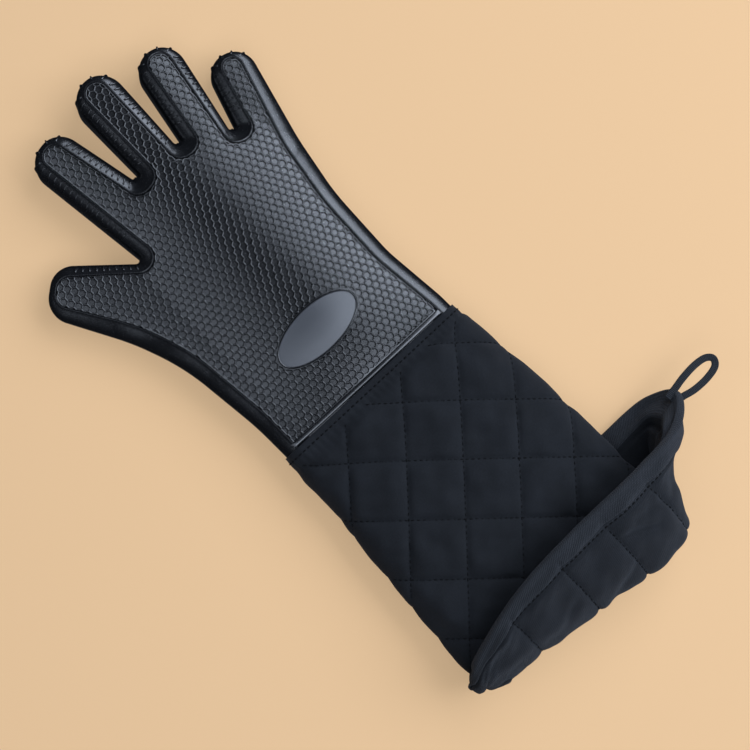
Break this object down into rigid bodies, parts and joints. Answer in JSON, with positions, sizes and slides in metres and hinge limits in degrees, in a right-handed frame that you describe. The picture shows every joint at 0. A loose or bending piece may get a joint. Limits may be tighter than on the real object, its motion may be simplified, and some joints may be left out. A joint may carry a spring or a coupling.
{
  "type": "heat resistant glove",
  "caption": "Five-finger silicone oven glove with a honeycomb grip and a long quilted fabric sleeve, its open end folded back as a cuff with a hanging loop.",
  "frame": {"origin": "centre of the palm's flat resting face", "axes": "+Y towards the fingers, +X towards the little finger, +Z towards the back of the hand"},
  "size_m": [0.2769, 0.4663, 0.0649],
  "materials": {
    "silicone": "satin",
    "knit_liner": "matt",
    "sleeve_cover": "matt",
    "wadding": "matt",
    "sleeve_lining": "matt",
    "binding_tape": "matt",
    "thread": "matt"
  },
  "bodies": {
    "hand": {"silicone_hand": "silicone", "liner_hand": "knit_liner"},
    "thumb": {"silicone_thumb": "silicone", "liner_thumb": "knit_liner"},
    "index": {"silicone_index": "silicone", "liner_index": "knit_liner"},
    "middle": {"silicone_middle": "silicone", "liner_middle": "knit_liner"},
    "ring": {"silicone_ring": "silicone", "liner_ring": "knit_liner"},
    "little": {"silicone_little": "silicone", "liner_little": "knit_liner"},
    "sleeve": {"cover_back": "sleeve_cover", "cover_palm": "sleeve_cover", "wadding_back": "wadding", "wadding_palm": "wadding", "lining_back": "sleeve_lining", "lining_palm": "sleeve_lining", "rim_binding": "binding_tape", "wrist_thread": "thread", "quilting_thread": "thread", "binding_thread": "thread"},
    "loop": {"hanging_loop": "binding_tape"}
  },
  "joints": [
    {"name": "thumb_bend", "type": "hinge", "parent": "hand", "child": "thumb", "pos_m": [-0.07284, 0.04585, 0.0135], "axis": [-0.7986, -0.6018, 0], "range_deg": [-15, 45], "stiffness_Nm_per_rad": 0.25},
    {"name": "index_bend", "type": "hinge", "parent": "hand", "child": "index", "pos_m": [-0.03526, 0.10141, 0.0135], "axis": [-0.9885, -0.1513, 0], "range_deg": [-15, 60], "stiffness_Nm_per_rad": 0.25},
    {"name": "middle_bend", "type": "hinge", "parent": "hand", "child": "middle", "pos_m": [0.00246, 0.10143, 0.0135], "axis": [-0.9994, 0.0349, 0], "range_deg": [-15, 60], "stiffness_Nm_per_rad": 0.25},
    {"name": "ring_bend", "type": "hinge", "parent": "hand", "child": "ring", "pos_m": [0.03712, 0.09722, 0.0135], "axis": [-0.9799, 0.1994, 0], "range_deg": [-15, 60], "stiffness_Nm_per_rad": 0.25},
    {"name": "little_bend", "type": "hinge", "parent": "hand", "child": "little", "pos_m": [0.06902, 0.08198, 0.0135], "axis": [-0.9511, 0.309, 0], "range_deg": [-15, 60], "stiffness_Nm_per_rad": 0.25},
    {"name": "wrist_bend", "type": "hinge", "parent": "hand", "child": "sleeve", "pos_m": [0, -0.095, 0.0135], "axis": [1, 0, 0], "range_deg": [-20, 20]},
    {"name": "loop_swing", "type": "hinge", "parent": "sleeve", "child": "loop", "pos_m": [0.1333, -0.2345, 0.0322], "axis": [0.1392, 0.9903, 0], "range_deg": [-60, 60], "stiffness_Nm_per_rad": 0.003}
  ]
}
